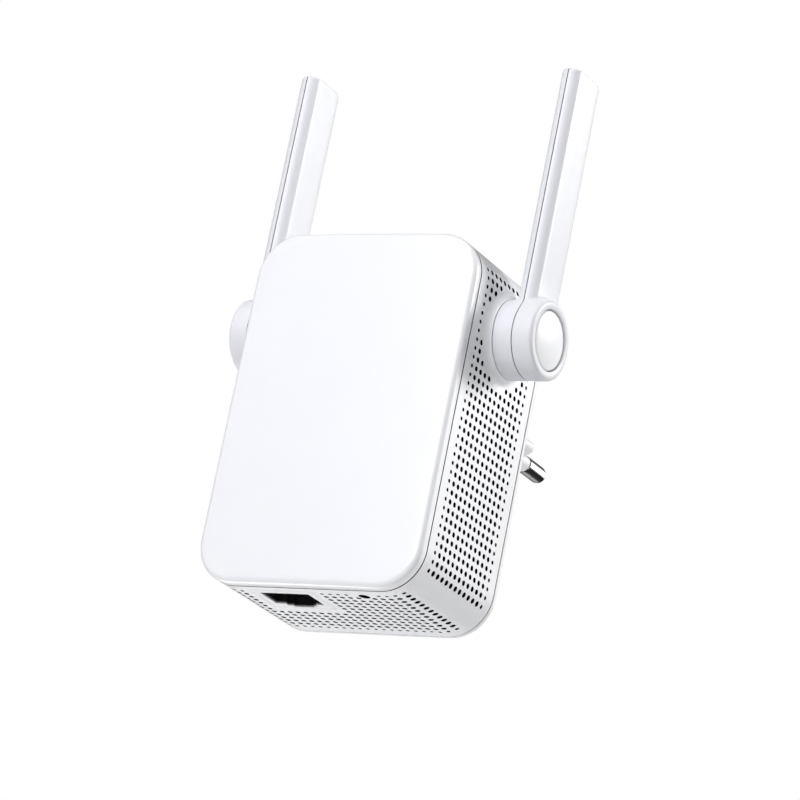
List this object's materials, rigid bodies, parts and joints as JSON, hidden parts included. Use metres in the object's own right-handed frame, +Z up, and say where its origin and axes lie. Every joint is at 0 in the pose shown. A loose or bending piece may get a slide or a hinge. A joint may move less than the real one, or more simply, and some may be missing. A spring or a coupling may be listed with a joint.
{
  "type": "wifi range extender",
  "caption": "Plug-in wifi range extender: rounded white box with vented sides, a two-pin mains plug behind, an Ethernet port below and two swivelling blade antennas.",
  "frame": {"origin": "centre of the plug face, midway between the two pins", "axes": "+Y into the wall socket, +Z up, +X to the right seen from the front"},
  "size_m": [0.077, 0.0756, 0.124],
  "materials": {
    "shell_white": "satin white moulded plastic",
    "jack_white": "moulded white plastic",
    "button_grey": "moulded plastic",
    "pin_metal": "bright nickel plate",
    "contact_metal": "plated spring metal",
    "board_green": "solder mask over glass laminate",
    "chip_black": "moulded epoxy",
    "capacitor_sleeve": "shrink sleeve",
    "ferrite": "sintered ferrite",
    "bobbin_plastic": "moulded plastic",
    "winding_tape": "polyester tape",
    "ceramic_blue": "dipped resin",
    "fuse_ceramic": "coated ceramic",
    "insulation": "fibre sheet",
    "steel": "plated steel",
    "thermal_pad": "soft silicone",
    "aluminium": "rolled sheet",
    "led_lens": "clear lens",
    "light_guide": "clear acrylic",
    "cable_jacket": "smooth jacket"
  },
  "bodies": {
    "housing": {"front_cover": "shell_white", "mid_housing": "shell_white", "rear_cover": "shell_white", "plug_pin_left": "pin_metal", "plug_pin_right": "pin_metal", "pin_sleeves": "shell_white", "mains_contacts": "contact_metal", "power_board": "board_green", "fuse": "fuse_ceramic", "bridge_rectifier": "chip_black", "bulk_capacitors": "capacitor_sleeve", "power_controller": "chip_black", "transformer_core": "ferrite", "transformer_bobbin": "bobbin_plastic", "transformer_winding": "winding_tape", "safety_capacitor": "ceramic_blue", "filter_choke": "ferrite", "output_rectifier": "chip_black", "output_capacitors": "capacitor_sleeve", "insulation_sheet": "insulation", "link_header": "chip_black", "link_pins": "contact_metal", "main_board": "board_green", "board_screws": "steel", "wifi_processor": "chip_black", "memory_chip": "chip_black", "radio_chip": "chip_black", "flash_chip": "chip_black", "crystals": "steel", "shield_cans": "steel", "thermal_pad": "thermal_pad", "heat_spreader": "aluminium", "lan_magnetics": "chip_black", "ethernet_jack": "jack_white", "ethernet_contacts": "contact_metal", "reset_switch": "chip_black", "pairing_switch": "chip_black", "status_leds": "led_lens", "light_guide": "light_guide", "coax_connectors": "contact_metal", "coax_cables": "cable_jacket"},
    "antenna_left": {"left_inner_shell": "shell_white", "left_outer_shell": "shell_white", "left_hub_cap": "shell_white", "left_antenna_element": "board_green", "left_pivot_sleeve": "steel", "left_friction_washer": "steel", "left_retaining_clip": "steel", "left_hub_screws": "steel"},
    "antenna_right": {"right_inner_shell": "shell_white", "right_outer_shell": "shell_white", "right_hub_cap": "shell_white", "right_antenna_element": "board_green", "right_pivot_sleeve": "steel", "right_friction_washer": "steel", "right_retaining_clip": "steel", "right_hub_screws": "steel"},
    "reset_plunger": {"reset_button": "button_grey"},
    "pairing_cap": {"pairing_button": "button_grey"}
  },
  "joints": [
    {"name": "left_antenna_swivel", "type": "hinge", "parent": "housing", "child": "antenna_left", "pos_m": [-0.033, -0.0376, 0.0113], "axis": [1, 0, 0], "range_deg": [0, 180]},
    {"name": "right_antenna_swivel", "type": "hinge", "parent": "housing", "child": "antenna_right", "pos_m": [0.033, -0.0376, 0.0113], "axis": [1, 0, 0], "range_deg": [0, 180]},
    {"name": "reset_press", "type": "slide", "parent": "housing", "child": "reset_plunger", "axis": [0, 0, 1], "range_m": [0, 0.0003]},
    {"name": "pairing_press", "type": "slide", "parent": "housing", "child": "pairing_cap", "axis": [1, 0, 0], "range_m": [0, 0.0005]}
  ]
}
